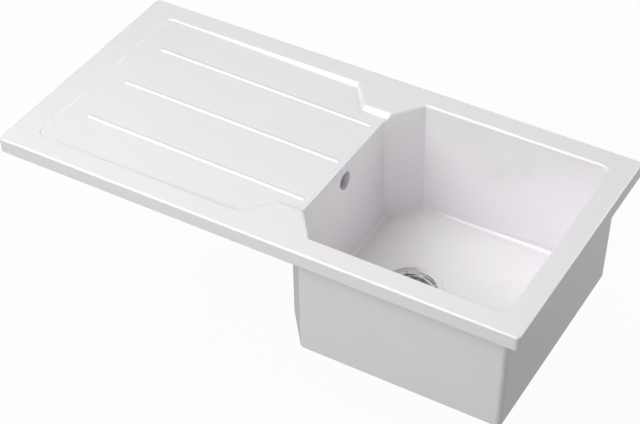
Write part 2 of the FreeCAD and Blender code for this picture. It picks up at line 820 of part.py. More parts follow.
def strainer_flange():
    """The pressed steel flange and well in one: it rests on the bowl's floor and carries the basket on a ledge."""
    throat_end = "flange_seal_thickness - flange_funnel"
    bore = "screw_radius + small_gap"
    body = at_waste(
        "strainer_flange",
        [
            ("flange_radius", "seat_gap"),
            ("flange_radius", f"{FLANGE_TOP} - 0.5*steel"),
            ("flange_radius - 0.5*steel", FLANGE_TOP),
            ("well_radius + flange_funnel", FLANGE_TOP),
            ("well_radius", throat_end),
            ("well_radius", "0 - ledge_depth"),
            ("ledge_radius", "0 - ledge_depth"),
            ("well_foot_radius", "0 - well_depth"),
            ("boss_radius + 0.5*boss_drop", "0 - well_depth"),
            ("boss_radius", BOSS_FLOOR),
            (bore, BOSS_FLOOR),
            (bore, f"{BOSS_FLOOR} - steel"),
            ("boss_radius + 0.7*steel", f"{BOSS_FLOOR} - steel"),
            ("boss_radius + 0.5*boss_drop + 0.7*steel", "0 - well_depth - steel"),
            ("well_foot_radius + steel", "0 - well_depth - steel"),
            ("ledge_radius + steel", "0 - ledge_depth - steel"),
            ("well_radius + steel", "0 - ledge_depth - steel"),
            ("well_radius + steel", f"{throat_end} - 0.4*steel"),
            ("well_radius + flange_funnel + 0.4*steel", "flange_seal_thickness"),
            ("flange_radius - steel", "flange_seal_thickness"),
            ("flange_radius - steel", "seat_gap"),
        ],
    )
    holes = new_sketch(body, "drain_hole_plan", offset="0 - well_depth - 2*steel")
    draw_circle(holes, "drain_hole_radius", across="drain_hole_circle")
    first = pocket(body, "drain_hole", holes, "4*steel", Reversed=True)
    patterned(body, "drain_holes", first, 12)
    return body


def ring(name, inner, outer, low, high):
    """A flat ring about the waste's axis between two radii and two heights."""
    return at_waste(name, [(inner, low), (outer, low), (outer, high), (inner, high)])


def basket():
    """The lift-out basket: its rim hangs on the ledge of the well, its floor and wall are pierced."""
    rim_under = "seat_gap - ledge_depth"
    inner_wall = "basket_wall_radius - basket_sheet"
    inner_foot = "basket_foot_radius - basket_sheet"
    floor_under = "0 - basket_depth"
    guide_hole = "guide_neck_radius + small_gap"
    body = at_waste(
        "basket",
        [
            ("basket_rim_radius", rim_under),
            ("basket_rim_radius", f"{rim_under} + basket_sheet"),
            (inner_wall, f"{rim_under} + basket_sheet"),
            (inner_foot, f"{floor_under} + 3*basket_sheet"),
            ("basket_foot_radius - 4*basket_sheet", f"{floor_under} + basket_sheet"),
            (guide_hole, f"{floor_under} + basket_sheet"),
            (guide_hole, floor_under),
            ("basket_foot_radius - 3*basket_sheet", floor_under),
            ("basket_foot_radius", f"{floor_under} + 3*basket_sheet"),
            ("basket_wall_radius", rim_under),
        ],
    )
    plan = new_sketch(body, "floor_hole_plan", offset=f"{floor_under} - basket_sheet")
    for step, count in enumerate((12, 18, 24), start=-1):
        circle = number("basket_hole_circle") + step * number("basket_hole_step")
        for index in range(count):
            angle = 2 * math.pi * index / count
            centre = Vector(circle * math.cos(angle), circle * math.sin(angle), 0)
            plan.addGeometry(Part.Circle(centre, Vector(0, 0, 1), number("basket_hole_radius")), False)
    pocket(body, "floor_holes", plan, "3*basket_sheet", Reversed=True)
    slot = new_sketch(body, "wall_slot_plan", "YZ_Plane")
    half, low = "0.5*basket_slot_width", "basket_slot_rise - basket_depth"
    high = f"{low} + basket_slot_height"
    draw_outline(slot, [(negative(half), low), (half, low), (half, high), (negative(half), high)])
    made = pocket(body, "wall_slot", slot, "basket_rim_radius", Reversed=True)
    patterned(body, "wall_slots", made, 18)
    return body


def stem_guide():
    """The bush that is snapped into the middle of the basket's floor and guides the stem."""
    bore = "stem_radius + running_gap"
    sheet_top = "basket_sheet - basket_depth"
    clip_top = "0 - basket_depth"
    return at_waste(
        "stem_guide",
        [
            (bore, f"{clip_top} - guide_flange_thickness"),
            ("guide_neck_radius", f"{clip_top} - guide_flange_thickness"),
            ("guide_neck_radius + guide_clip", clip_top),
            ("guide_neck_radius", clip_top),
            ("guide_neck_radius", sheet_top),
            ("guide_flange_radius", sheet_top),
            ("guide_flange_radius", f"{sheet_top} + 0.5*guide_flange_thickness"),
            ("guide_flange_radius - 0.5*guide_flange_thickness", f"{sheet_top} + guide_flange_thickness"),
            (bore, f"{sheet_top} + guide_flange_thickness"),
        ],
    )


def stopper_stem():
    """The steel pin through the guide, with a head that carries the rubber stopper from below."""
    top = "knob_rise - knob_height + knob_bore_depth - seat_gap"
    return at_waste(
        "stopper_stem",
        [
            ("0", f"{RECESS_ROOF} - stem_head_thickness"),
            ("stem_head_radius - 0.3*stem_head_thickness", f"{RECESS_ROOF} - stem_head_thickness"),
            ("stem_head_radius", f"{RECESS_ROOF} - 0.7*stem_head_thickness"),
            ("stem_head_radius", RECESS_ROOF),
            ("stem_radius", RECESS_ROOF),
            ("stem_radius", f"{top} - 0.1*stem_radius"),
            ("0.9*stem_radius", top),
            ("0", top),
        ],
    )


def stopper_seal():
    """The rubber disc that closes the holes in the well's floor when the stem is pushed down."""
    bore = "stem_radius + running_gap"
    hub_top = f"{STOPPER_FOOT} + stopper_lip + stopper_hub_height"
    return at_waste(
        "stopper_seal",
        [
            ("stopper_recess_radius", STOPPER_FOOT),
            ("stopper_radius - 0.5*stopper_lip", STOPPER_FOOT),
            ("stopper_radius", f"{STOPPER_FOOT} + 0.4*stopper_lip"),
            ("stopper_radius", f"{STOPPER_FOOT} + 0.6*stopper_lip"),
            ("stopper_radius - stopper_lip", f"{STOPPER_FOOT} + stopper_lip"),
            ("stopper_hub_radius", f"{STOPPER_FOOT} + stopper_lip"),
            ("0.8*stopper_hub_radius", hub_top),
            (bore, hub_top),
            (bore, RECESS_ROOF),
            ("stopper_recess_radius", RECESS_ROOF),
        ],
    )


def stopper_knob():
    """The knob on top of the stem, waisted for two fingers."""
    foot = "knob_rise - knob_height"
    bore = "stem_radius + running_gap"
    body = at_waste(
        "stopper_knob",
        [
            (bore, foot),
            ("knob_waist - 0.1*knob_height", foot),
            ("knob_waist", f"{foot} + 0.1*knob_height"),
            ("knob_waist", f"{foot} + 0.5*knob_height"),
            ("knob_radius", "knob_rise - 0.25*knob_height"),
            ("knob_radius", "knob_rise - 0.12*knob_height"),
            ("0.8*knob_radius", "knob_rise"),
            ("0", "knob_rise"),
            ("0", f"{foot} + knob_bore_depth"),
            (bore, f"{foot} + knob_bore_depth"),
        ],
    )
    return body


def clamp_screw():
    """The slotted screw that pulls the flange and the housing together through the ceramic."""
    head_top = f"{BOSS_FLOOR} + screw_head_height"
    tip = f"{BOSS_FLOOR} - screw_length"
    body = at_waste(
        "clamp_screw",
        [
            ("0", tip),
            ("0.8*screw_radius", tip),
            ("screw_radius", f"{tip} + 0.3*screw_radius"),
            ("screw_radius", BOSS_FLOOR),
            ("screw_head_radius", BOSS_FLOOR),
            ("screw_head_radius", f"{head_top} - 0.3*screw_head_height"),
            ("0.8*screw_head_radius", head_top),
            ("0", head_top),
        ],
    )
    slot = new_sketch(body, "screw_slot_plan", offset=f"{head_top} - screw_slot_depth")
    half_length, half_width = "2*screw_head_radius", "0.5*screw_slot_width"
    draw_outline(slot, rectangle(half_length, half_width))
    pocket(body, "screw_slot", slot, "2*screw_slot_depth", Reversed=True)
    return body


def screw_insert():
    """The threaded brass bush moulded into the hub of the housing."""
    top = f"{HUB_TOP} - insert_cover"
    bore = "screw_radius + running_gap"
    groove = "insert_radius - 0.15*insert_radius"
    return at_waste(
        "screw_insert",
        [
            (bore, f"{top} - insert_length"),
            ("insert_radius", f"{top} - insert_length"),
            ("insert_radius", f"{top} - 0.6*insert_length"),
            (groove, f"{top} - 0.6*insert_length"),
            (groove, f"{top} - 0.4*insert_length"),
            ("insert_radius", f"{top} - 0.4*insert_length"),
            ("insert_radius", top),
            (bore, top),
        ],
    )


def strainer_housing():
    """The plastic cup under the bowl: flange, cup, cone and threaded outlet, the overflow's inlet and the hub."""
    flange_under = f"{HOUSING_TOP} - housing_flange_thickness"
    outlet_end = "0 - outlet_top - outlet_length"
    inner = "housing_radius - housing_wall"
    body = at_waste(
        "strainer_housing",
        [
            ("0", HOUSING_TOP),
            ("housing_flange_radius", HOUSING_TOP),
            ("housing_flange_radius", flange_under),
            ("housing_radius", flange_under),
            ("housing_radius", "0 - housing_shoulder"),
            ("outlet_thread_radius", "0 - outlet_top"),
            ("outlet_thread_radius", outlet_end),
            ("0", outlet_end),
        ],
    )
    spigot = new_sketch(body, "inlet_plan", "YZ_Plane", offset="0 - inlet_reach")
    draw_circle(spigot, "socket_radius", up="0 - pipe_drop")
    pad(body, "inlet_outside", spigot, "inlet_reach - housing_radius + housing_wall")

    inside = new_sketch(body, "cup_inside", "XZ_Plane")
    draw_outline(
        inside,
        [
            ("0", f"{HOUSING_TOP} + 1"),
            (inner, f"{HOUSING_TOP} + 1"),
            (inner, "0 - housing_shoulder"),
            ("outlet_bore_radius", "0 - outlet_top"),
            ("outlet_bore_radius", f"{outlet_end} - 1"),
            ("0", f"{outlet_end} - 1"),
        ],
    )
    before = body.Shape.Volume
    feature(body, "Groove", "cup", inside, ReferenceAxis=(inside, ["V_Axis"]), Angle=360.0)
    if not body.Shape.Volume < before:
        raise RuntimeError("the cup of the housing is not hollow")
    for name, radius, depth in (
        ("inlet_socket", "pipe_radius + pipe_fit", "pipe_engagement + seat_gap"),
        ("inlet_bore", "inlet_bore_radius", "0.5*inlet_reach"),
    ):
        plan = new_sketch(body, f"{name}_plan", "YZ_Plane", offset="0 - inlet_reach")
        draw_circle(plan, radius, up="0 - pipe_drop")
        pocket(body, name, plan, depth, Reversed=True)

    web_top = f"{HUB_TOP} - web_thickness"
    reach, half_web = "housing_radius - 0.5*housing_wall", "0.5*web_thickness"
    for index, (x, y) in enumerate(((reach, half_web), (half_web, reach))):
        plan = new_sketch(body, f"web_plan_{index}", offset=f"{web_top} - web_height")
        draw_outline(plan, rectangle(x, y))
        pad(body, f"web_{index}", plan, "web_height")
    hub = new_sketch(body, "hub_section", "XZ_Plane")
    hub_foot = f"{BOSS_FLOOR} - screw_length - web_thickness"
    cavity_foot = f"{BOSS_FLOOR} - screw_length - seat_gap"
    draw_outline(hub, [("0", HUB_TOP), ("hub_radius", HUB_TOP), ("hub_radius", hub_foot), ("0", hub_foot)])
    feature(body, "Revolution", "hub", hub, ReferenceAxis=(hub, ["V_Axis"]), Angle=360.0)
    bore = new_sketch(body, "hub_bore_section", "XZ_Plane")
    clear = "screw_radius + small_gap"
    seat = "insert_radius + running_gap"
    insert_top = f"{HUB_TOP} - insert_cover"
    draw_outline(
        bore,
        [
            ("0", f"{HUB_TOP} + 1"),
            (clear, f"{HUB_TOP} + 1"),
            (clear, insert_top),
            (seat, insert_top),
            (seat, f"{insert_top} - insert_length"),
            (clear, f"{insert_top} - insert_length"),
            (clear, cavity_foot),
            ("0", cavity_foot),
        ],
    )
    before = body.Shape.Volume
    feature(body, "Groove", "hub_bore", bore, ReferenceAxis=(bore, ["V_Axis"]), Angle=360.0)
    if not body.Shape.Volume < before:
        raise RuntimeError("the hub of the housing has no bore")
    return body


# ---------------------------------------------------------------------------------------------- overflow connection
def along_pipe(name, profile):
    """A piece turned about the overflow pipe's axis; x is measured from the row frame's origin."""
    return turned(name, profile, "0", PIPE_Z, "H_Axis")


ELBOW_END = f"{DUCT_X} + bend_radius + socket_length"
INLET_END = f"{WASTE_X} - inlet_reach"


def overflow_elbow():
    """The bend from the duct's foot to the pipe: a riser in the duct, a collar under it and a threaded socket."""
    body = new_body("overflow_elbow", DUCT_X, PIPE_Z)
    inner = "elbow_radius - elbow_wall"
    foot_level = "pipe_drop - waste_web"
    collar_top = f"{foot_level} - sleeve_lip"
    riser = new_sketch(body, "riser_section", "XZ_Plane")
    draw_outline(
        riser,
        [
            ("0", "bend_radius"),
            ("elbow_radius", "bend_radius"),
            ("elbow_radius", f"{collar_top} - collar_thickness"),
            ("collar_radius", f"{collar_top} - collar_thickness"),
            ("collar_radius", collar_top),
            ("elbow_radius", collar_top),
            ("elbow_radius", f"{foot_level} + elbow_rise"),
            ("0", f"{foot_level} + elbow_rise"),
        ],
    )
    feature(body, "Revolution", "riser", riser, ReferenceAxis=(riser, ["V_Axis"]), Angle=360.0)

    def bend(kind, name, radius):
        plan = new_sketch(body, f"{name}_plan", offset="bend_radius")
        draw_circle(plan, radius)
        reach = number("bend_radius")
        hinge = Part.LineSegment(Vector(reach, -reach, 0), Vector(reach, reach, 0))
        line = plan.addGeometry(hinge, True)
        for end in (1, 2):
            place = plan.addConstraint(Sketcher.Constraint("DistanceX", -1, 1, line, end, reach))
            plan.setExpression(f"Constraints[{place}]", formula("bend_radius"))
        return feature(body, kind, name, plan, ReferenceAxis=(plan, ["Axis0"]), Angle=90.0, Reversed=True)

    bend("Revolution", "bend_outside", "elbow_radius")
    socket = new_sketch(body, "socket_section", "XZ_Plane")
    end = "bend_radius + socket_length"
    draw_outline(socket, [("bend_radius", "0"), (end, "0"), (end, "socket_radius"), ("bend_radius", "socket_radius")])
    feature(body, "Revolution", "socket", socket, ReferenceAxis=(socket, ["H_Axis"]), Angle=360.0)
    outside = body.Shape.Volume
    bend("Groove", "bend_inside", inner)
    riser_bore = new_sketch(body, "riser_bore_section", "XZ_Plane")
    top = f"{foot_level} + elbow_rise + 1"
    draw_outline(riser_bore, [("0", "bend_radius"), (inner, "bend_radius"), (inner, top), ("0", top)])
    feature(body, "Groove", "riser_bore", riser_bore, ReferenceAxis=(riser_bore, ["V_Axis"]), Angle=360.0)
    bore = new_sketch(body, "socket_bore_section", "XZ_Plane")
    step = f"{end} - pipe_engagement - seat_gap"
    draw_outline(
        bore,
        [
            ("bend_radius", "0"),
            (f"{end} + 1", "0"),
            (f"{end} + 1", "pipe_radius + pipe_fit"),
            (step, "pipe_radius + pipe_fit"),
            (step, inner),
            ("bend_radius", inner),
        ],
    )
    feature(body, "Groove", "socket_bore", bore, ReferenceAxis=(bore, ["H_Axis"]), Angle=360.0)
    if not body.Shape.Volume < 0.7 * outside:
        raise RuntimeError("the elbow is not hollow")
    return body


def overflow_sleeve_seal():
    """The rubber sleeve round the elbow's riser, with a lip between the collar and the ceramic foot."""
    inner = "elbow_radius + running_gap"
    outer = "duct_bore_radius - running_gap"
    foot = "0 - waste_web"
    return turned(
        "overflow_sleeve_seal",
        [
            (inner, f"{foot} - sleeve_lip"),
            ("sleeve_lip_radius", f"{foot} - sleeve_lip"),
            ("sleeve_lip_radius", foot),
            (outer, foot),
            (outer, f"{foot} + sleeve_length"),
            (inner, f"{foot} + sleeve_length"),
        ],
        DUCT_X,
        WASTE_LEVEL,
    )


def overflow_pipe():
    """The straight pipe from the elbow to the inlet of the strainer's housing."""
    left, right = f"{ELBOW_END} - pipe_engagement", f"{INLET_END} + pipe_engagement"
    inner = "pipe_radius - pipe_wall"
    return along_pipe("overflow_pipe", [(left, inner), (right, inner), (right, "pipe_radius"), (left, "pipe_radius")])


def pipe_washer(name, low, high):
    """The rubber ring that a pipe nut presses on to the end of a socket."""
    inner, outer = "pipe_radius + running_gap", "socket_radius - small_gap"
    return along_pipe(name, [(low, inner), (high, inner), (high, outer), (low, outer)])


def pipe_nut(name, end, away):
    """A union nut over the socket whose end face is at x = end; away is + for a socket that faces +X."""
    back = "-" if away == "+" else "+"
    face = f"{end} {away} washer_length"
    outer_end = f"{face} {away} nut_end"
    inner_end = f"{outer_end} {back} nut_length"
    hole, thread = "pipe_radius + 2*small_gap", "socket_radius + running_gap"
    body = along_pipe(
        name,
        [
            (inner_end, thread),
            (face, thread),
            (face, hole),
            (outer_end, hole),
            (outer_end, "nut_radius - 0.5*nut_lug"),
            (f"{outer_end} {back} 0.5*nut_lug", "nut_radius"),
            (inner_end, "nut_radius"),
        ],
    )
    lug = new_sketch(body, f"{name}_lug_plan", "YZ_Plane", offset=inner_end)
    half = "0.5*nut_lug_width"
    low, high = "nut_radius - nut_lug", "nut_radius + nut_lug"
    draw_outline(lug, [(negative(half), low), (half, low), (half, high), (negative(half), high)])
    made = pad(body, f"{name}_lug", lug, "nut_length - nut_end", Reversed=away == "-")
    patterned(body, f"{name}_lugs", made, 8, "X_Axis")
    return body


# ---------------------------------------------------------------------------------------------- all pieces
gasket_top = "flange_seal_thickness"
pieces = {
    "sink_body": sink_moulding(),
    "rim_seal": rim_seal(),
    "strainer_flange": strainer_flange(),
    "flange_gasket": ring("flange_gasket", "flange_seal_inner", "flange_seal_outer", "0", gasket_top),
    "body_gasket": ring("body_gasket", "body_gasket_inner", "body_gasket_outer", HOUSING_TOP, "0 - waste_web"),
    "strainer_housing": strainer_housing(),
    "clamp_screw": clamp_screw(),
    "screw_insert": screw_insert(),
    "basket": basket(),
    "stem_guide": stem_guide(),
    "stopper_stem": stopper_stem(),
    "stopper_seal": stopper_seal(),
    "stopper_knob": stopper_knob(),
    "overflow_elbow": overflow_elbow(),
    "overflow_sleeve_seal": overflow_sleeve_seal(),
    "overflow_pipe": overflow_pipe(),
    "elbow_washer": pipe_washer("elbow_washer", ELBOW_END, f"{ELBOW_END} + washer_length"),
    "elbow_nut": pipe_nut("elbow_nut", ELBOW_END, "+"),
    "inlet_washer": pipe_washer("inlet_washer", f"{INLET_END} - washer_length", INLET_END),
    "inlet_nut": pipe_nut("inlet_nut", INLET_END, "-"),
}
doc.recompute()

for made in doc.Objects:
    if "Invalid" in made.State or "Error" in made.State:
        raise RuntimeError(f"{made.Name} is {made.State}")

os.makedirs("parts", exist_ok=True)
for node, piece in pieces.items():
    piece.Label = node
    shape = piece.Shape
    if shape.isNull() or not shape.isValid() or len(shape.Solids) != 1:
        raise RuntimeError(f"{node} is not one sound solid")
    shape.exportStep(f"parts/{node}.step")
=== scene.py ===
"""Looks of the inset kitchen sink: white glazed ceramic, steel strainer, plastic and rubber fittings under the bowl.

Metres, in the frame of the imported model: x along the sink towards the bowl, y towards the back, z up from the worktop.
"""

import json
import math

import bpy
from mathutils import Matrix, Vector

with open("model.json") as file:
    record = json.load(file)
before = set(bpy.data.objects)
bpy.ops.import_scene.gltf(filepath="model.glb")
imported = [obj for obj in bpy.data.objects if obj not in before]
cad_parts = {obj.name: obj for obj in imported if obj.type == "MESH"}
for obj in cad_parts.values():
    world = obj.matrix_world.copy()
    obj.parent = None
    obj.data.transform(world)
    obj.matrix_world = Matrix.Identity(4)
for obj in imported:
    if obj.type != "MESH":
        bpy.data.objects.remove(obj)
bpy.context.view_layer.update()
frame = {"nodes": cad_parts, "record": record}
nodes = frame["nodes"]
scene = bpy.context.scene

# the axis of the waste, in plan; it lies on the sink's middle line
WASTE_X = 0.191

# the bare foot of the rim: it fades in between two heights, and not in the strip's own height
FOOT_TOP = 0.0045
FOOT_FULL = 0.0026
FOOT_BOTTOM = 0.0005
FOOT_BOTTOM_FULL = 0.0015

# the floor under the hanging sink, and how it is seen
FLOOR_HALF = 6.0
FLOOR_LEVEL = -0.42
FLOOR_TO_THE_SINK = (0.30, 0.30, 0.30)
FLOOR_TO_THE_CAMERA = (0.90, 0.90, 0.90)
FLOOR_WHITE_TO_THE_CAMERA = 0.95
FLOOR_WHITE_IN_THE_GLAZE = 0.35

# the softboxes stand on a sphere about this point
LAMP_CENTRE = (0.1, 0.0, 0.0)
LAMP_DISTANCE = 2.6


# ------------------------------------------------------------------------------------------------ shader node tools
def wire(tree, source, target):
    """Links the socket source to the socket target."""
    tree.links.new(source, target)


def add(tree, kind, place=(0, 0), **values):
    """A shader node of a kind, with its properties, and its unlinked inputs given by name."""
    node = tree.nodes.new("ShaderNode" + kind)
    node.location = place
    for name, value in values.items():
        if hasattr(node, name):
            setattr(node, name, value)
        else:
            node.inputs[name.replace("_", " ")].default_value = value
    return node


def effect(name, inputs, outputs):
    """An empty node group with float or vector sockets: its tree, its input node and its output node."""
    tree = bpy.data.node_groups.new(name, "ShaderNodeTree")
    kinds = {"float": "NodeSocketFloat", "vector": "NodeSocketVector"}
    for label, kind, value in inputs:
        socket = tree.interface.new_socket(label, in_out="INPUT", socket_type=kinds[kind])
        if value is not None:
            socket.default_value = value
    for label, kind in outputs:
        tree.interface.new_socket(label, in_out="OUTPUT", socket_type=kinds[kind])
    source = tree.nodes.new("NodeGroupInput")
    source.location = (-900, 0)
    target = tree.nodes.new("NodeGroupOutput")
    target.location = (700, 0)
    return tree, source, target


def place_effect(tree, group, place=(0, 0), **values):
    """Puts a node group into a material and sets its inputs."""
    node = tree.nodes.new("ShaderNodeGroup")
    node.node_tree = group
    node.location = place
    for name, value in values.items():
        node.inputs[name.replace("_", " ")].default_value = value
    return node


# ------------------------------------------------------------------------------------------------ shared effects
def mottle_effect():
    """Soft uneven patches: fractal noise of a size in metres, stretched between two values."""
    tree, source, target = effect(
        "mottle",
        [
            ("Coordinates", "vector", None),
            ("Patch Size", "float", 0.05),
            ("Low", "float", 0.0),
            ("High", "float", 1.0),
        ],
        [("Value", "float")],
    )
    scale = add(tree, "Math", (-650, -120), operation="DIVIDE")
    scale.inputs[0].default_value = 1.0
    wire(tree, source.outputs["Patch Size"], scale.inputs[1])
    noise = add(tree, "TexNoise", (-420, 0), Detail=3.0, Roughness=0.55)
    wire(tree, source.outputs["Coordinates"], noise.inputs["Vector"])
    wire(tree, scale.outputs[0], noise.inputs["Scale"])
    spread = add(tree, "MapRange", (-150, 0))
    spread.inputs["From Min"].default_value = 0.3
    spread.inputs["From Max"].default_value = 0.7
    wire(tree, noise.outputs["Fac"], spread.inputs["Value"])
    wire(tree, source.outputs["Low"], spread.inputs["To Min"])
    wire(tree, source.outputs["High"], spread.inputs["To Max"])
    wire(tree, spread.outputs["Result"], target.inputs["Value"])
    return tree


def grain_effect():
    """A fine bump of round grains of a size in metres."""
    tree, source, target = effect(
        "grain",
        [
            ("Coordinates", "vector", None),
            ("Grain Size", "float", 0.0006),
            ("Strength", "float", 0.2),
            ("Depth", "float", 0.00005),
        ],
        [("Normal", "vector")],
    )
    scale = add(tree, "Math", (-650, -120), operation="DIVIDE")
    scale.inputs[0].default_value = 1.0
    wire(tree, source.outputs["Grain Size"], scale.inputs[1])
    noise = add(tree, "TexNoise", (-420, 0), Detail=2.0, Roughness=0.6)
    wire(tree, source.outputs["Coordinates"], noise.inputs["Vector"])
    wire(tree, scale.outputs[0], noise.inputs["Scale"])
    bump = add(tree, "Bump", (200, 0))
    wire(tree, source.outputs["Strength"], bump.inputs["Strength"])
    wire(tree, source.outputs["Depth"], bump.inputs["Distance"])
    wire(tree, noise.outputs["Fac"], bump.inputs["Height"])
    wire(tree, bump.outputs["Normal"], target.inputs["Normal"])
    return tree


def turning_effect():
    """Fine circular tool marks about the Z axis: noise over the distance from the axis and the height."""
    tree, source, target = effect(
        "turning marks",
        [
            ("Coordinates", "vector", None),
            ("Mark Width", "float", 0.0002),
            ("Strength", "float", 0.15),
            ("Depth", "float", 0.00002),
        ],
        [("Normal", "vector"), ("Marks", "float")],
    )
    parts = add(tree, "SeparateXYZ", (-760, 0))
    wire(tree, source.outputs["Coordinates"], parts.inputs[0])
    flat = add(tree, "CombineXYZ", (-600, 80))
    wire(tree, parts.outputs["X"], flat.inputs["X"])
    wire(tree, parts.outputs["Y"], flat.inputs["Y"])
    radius = add(tree, "VectorMath", (-440, 80), operation="LENGTH")
    wire(tree, flat.outputs[0], radius.inputs[0])
    line = add(tree, "CombineXYZ", (-280, 0))
    wire(tree, radius.outputs["Value"], line.inputs["X"])
    wire(tree, parts.outputs["Z"], line.inputs["Z"])
    scale = add(tree, "Math", (-280, -160), operation="DIVIDE")
    scale.inputs[0].default_value = 1.0
    wire(tree, source.outputs["Mark Width"], scale.inputs[1])
    noise = add(tree, "TexNoise", (-100, 0), Detail=2.0, Roughness=0.7)
    wire(tree, line.outputs[0], noise.inputs["Vector"])
    wire(tree, scale.outputs[0], noise.inputs["Scale"])
    bump = add(tree, "Bump", (300, 0))
    wire(tree, source.outputs["Strength"], bump.inputs["Strength"])
    wire(tree, source.outputs["Depth"], bump.inputs["Distance"])
    wire(tree, noise.outputs["Fac"], bump.inputs["Height"])
    wire(tree, bump.outputs["Normal"], target.inputs["Normal"])
    wire(tree, noise.outputs["Fac"], target.inputs["Marks"])
    return tree


MOTTLE = mottle_effect()
GRAIN = grain_effect()
TURNING = turning_effect()


# ------------------------------------------------------------------------------------------------ materials
def material(name, **settings):
    """A new material: its tree, its Principled shader and its object coordinates."""
    made = bpy.data.materials.new(name)
    made.use_nodes = True
    tree = made.node_tree
    shader = tree.nodes["Principled BSDF"]
    for label, value in settings.items():
        shader.inputs[label.replace("_", " ")].default_value = value
    coordinates = add(tree, "TexCoord", (-1400, 0))
    return made, tree, shader, coordinates.outputs["Object"]


def centred(tree, coordinates, x):
    """Object coordinates moved so that their origin lies at x on the sink's middle line."""
    mapping = add(tree, "Mapping", (-1200, 0))
    mapping.vector_type = "TEXTURE"
    mapping.inputs["Location"].default_value = (x, 0.0, 0.0)
    wire(tree, coordinates, mapping.inputs["Vector"])
    return mapping.outputs["Vector"]


def blend_colours(tree, factor, first, second, place=(-300, 200)):
    """first where the factor is 0, second where it is 1; each is a colour or a socket."""
    mix = add(tree, "Mix", place, data_type="RGBA")
    sockets = [mix.inputs[6], mix.inputs[7]]
    for socket, value in zip(sockets, (first, second)):
        if isinstance(value, bpy.types.NodeSocket):
            wire(tree, value, socket)
        else:
            socket.default_value = (*value, 1.0)
    wire(tree, factor, mix.inputs[0])
    return mix.outputs[2]


def white_glaze():
    """Opaque white glaze on fireclay: glossy, very slightly uneven, with a bare fired foot under the rim."""
    made, tree, shader, place = material("white_glaze", IOR=1.8)
    cloud = place_effect(tree, MOTTLE, (-900, 300), Patch_Size=0.16, Low=0.0, High=1.0)
    wire(tree, place, cloud.inputs["Coordinates"])
    speck = place_effect(tree, MOTTLE, (-900, 100), Patch_Size=0.004, Low=0.0, High=1.0)
    wire(tree, place, speck.inputs["Coordinates"])
    clouded = blend_colours(tree, cloud.outputs[0], (0.858, 0.840, 0.862), (0.880, 0.862, 0.884), (-600, 300))
    specked = blend_colours(tree, speck.outputs[0], (0.862, 0.844, 0.866), (0.882, 0.864, 0.886), (-600, 100))
    glaze = add(tree, "Mix", (-380, 250), data_type="RGBA")
    glaze.inputs[0].default_value = 0.3
    wire(tree, clouded, glaze.inputs[6])
    wire(tree, specked, glaze.inputs[7])

    # the foot of the rim is fired bare: faces that look down, just above the worktop
    parts = add(tree, "SeparateXYZ", (-900, -300))
    wire(tree, place, parts.inputs[0])
    geometry = add(tree, "NewGeometry", (-1100, -450))
    facing = add(tree, "SeparateXYZ", (-900, -450))
    wire(tree, geometry.outputs["Normal"], facing.inputs[0])
    low = add(tree, "MapRange", (-700, -300), interpolation_type="SMOOTHSTEP")
    low.inputs["From Min"].default_value = FOOT_TOP
    low.inputs["From Max"].default_value = FOOT_FULL
    wire(tree, parts.outputs["Z"], low.inputs["Value"])
    down = add(tree, "MapRange", (-700, -500), interpolation_type="SMOOTHSTEP")
    down.inputs["From Min"].default_value = -0.35
    down.inputs["From Max"].default_value = -0.8
    wire(tree, facing.outputs["Z"], down.inputs["Value"])
    above = add(tree, "MapRange", (-700, -700))
    above.inputs["From Min"].default_value = FOOT_BOTTOM
    above.inputs["From Max"].default_value = FOOT_BOTTOM_FULL
    wire(tree, parts.outputs["Z"], above.inputs["Value"])
    bare = add(tree, "Math", (-480, -400), operation="MULTIPLY")
    wire(tree, low.outputs[0], bare.inputs[0])
    wire(tree, down.outputs[0], bare.inputs[1])
    bare_only = add(tree, "Math", (-300, -450), operation="MULTIPLY")
    wire(tree, bare.outputs[0], bare_only.inputs[0])
    wire(tree, above.outputs[0], bare_only.inputs[1])

    fired = blend_colours(tree, speck.outputs[0], (0.60, 0.57, 0.52), (0.72, 0.69, 0.64), (-600, -80))
    colour = blend_colours(tree, bare_only.outputs[0], glaze.outputs[2], fired, (-120, 200))
    wire(tree, colour, shader.inputs["Base Color"])
    gloss = place_effect(tree, MOTTLE, (-600, -200), Patch_Size=0.05, Low=0.05, High=0.09)
    wire(tree, place, gloss.inputs["Coordinates"])
    rough = add(tree, "Mix", (-100, -100))
    wire(tree, bare_only.outputs[0], rough.inputs[0])
    wire(tree, gloss.outputs[0], rough.inputs[2])
    rough.inputs[3].default_value = 0.85
    wire(tree, rough.outputs[0], shader.inputs["Roughness"])

    # the glaze flows out in long shallow waves, with finer ripples
    wave = add(tree, "TexNoise", (-600, -900), Scale=9.0, Detail=1.0, Roughness=0.4)
    wire(tree, place, wave.inputs["Vector"])
    ripple = add(tree, "TexNoise", (-600, -1100), Scale=60.0, Detail=1.0, Roughness=0.5)
    wire(tree, place, ripple.inputs["Vector"])
    total = add(tree, "Math", (-400, -950), operation="MULTIPLY_ADD")
    total.inputs[1].default_value = 0.08
    wire(tree, ripple.outputs["Fac"], total.inputs[0])
    wire(tree, wave.outputs["Fac"], total.inputs[2])
    bump = add(tree, "Bump", (-150, -900), Strength=0.12, Distance=0.0012)
    wire(tree, total.outputs[0], bump.inputs["Height"])
    wire(tree, bump.outputs["Normal"], shader.inputs["Normal"])
    return made


